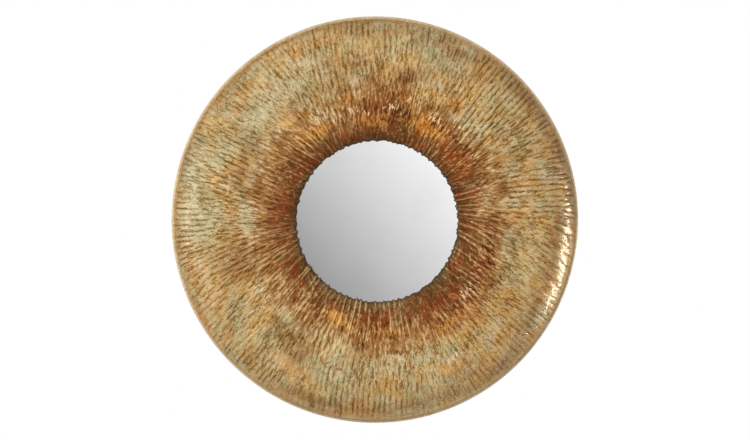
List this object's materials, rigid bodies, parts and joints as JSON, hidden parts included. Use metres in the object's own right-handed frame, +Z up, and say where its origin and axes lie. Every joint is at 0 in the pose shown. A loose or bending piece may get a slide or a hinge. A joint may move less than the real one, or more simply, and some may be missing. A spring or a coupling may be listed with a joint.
{
  "type": "wall mirror",
  "caption": "Large round wall mirror: a domed ring of ribbed, patinated sheet iron around a small round glass, with a keyhole hanging strap across its open back.",
  "frame": {"origin": "centre of the hanging strap's back face, midway between its two keyholes, on the wall", "axes": "+Y into the wall, +Z up, the mirror faces -Y"},
  "size_m": [0.8, 0.0835, 0.8],
  "materials": {
    "patinated_iron": "chased sheet iron with a lacquered gold, copper-red and verdigris patina",
    "mirror_glass": "silvered float glass",
    "hardboard": "brown hardboard, smooth face",
    "black_iron": "satin black paint"
  },
  "bodies": {
    "root": {"frame": "patinated_iron", "mirror_glass": "mirror_glass", "backing_board": "hardboard", "board_clip_1": "black_iron", "board_clip_2": "black_iron", "board_clip_3": "black_iron", "board_clip_4": "black_iron", "board_clip_5": "black_iron", "board_clip_6": "black_iron", "hanging_strap": "black_iron"}
  },
  "joints": []
}
